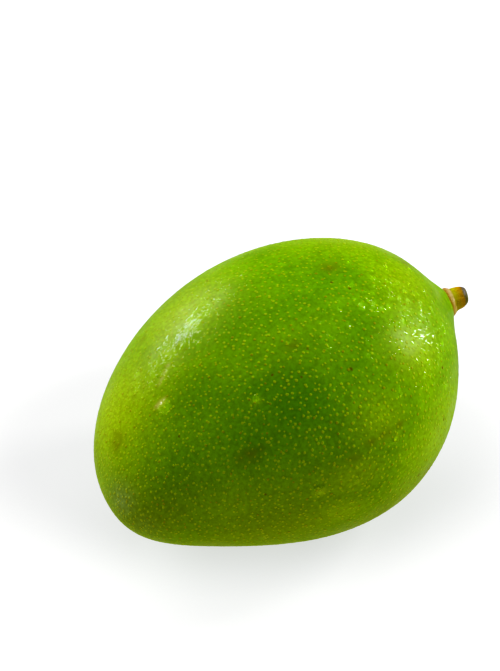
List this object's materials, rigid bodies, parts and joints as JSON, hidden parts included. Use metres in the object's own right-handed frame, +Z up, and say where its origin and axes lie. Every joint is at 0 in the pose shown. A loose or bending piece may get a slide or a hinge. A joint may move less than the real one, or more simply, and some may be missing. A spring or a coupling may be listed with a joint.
{
  "type": "mango",
  "caption": "Whole green mango lying on its flatter side, an asymmetric egg shape with a low beak near the tip and a short cut stalk at the other end.",
  "frame": {"origin": "on the surface that the fruit rests on, under the middle of the whole part's box", "axes": "+X along the fruit towards the stalk end, +Z up; the beaked belly side faces -Y"},
  "size_m": [0.1164, 0.0894, 0.0726],
  "materials": {
    "skin": "smooth waxy green fruit skin, glossy and wet, with fine yellow-green pores",
    "stalk": "semi-matt, yellow-green at the foot turning orange-brown, with a dark dried cut end and a tan foot ring"
  },
  "bodies": {
    "root": {"fruit": "skin", "stalk": "stalk"}
  },
  "joints": []
}
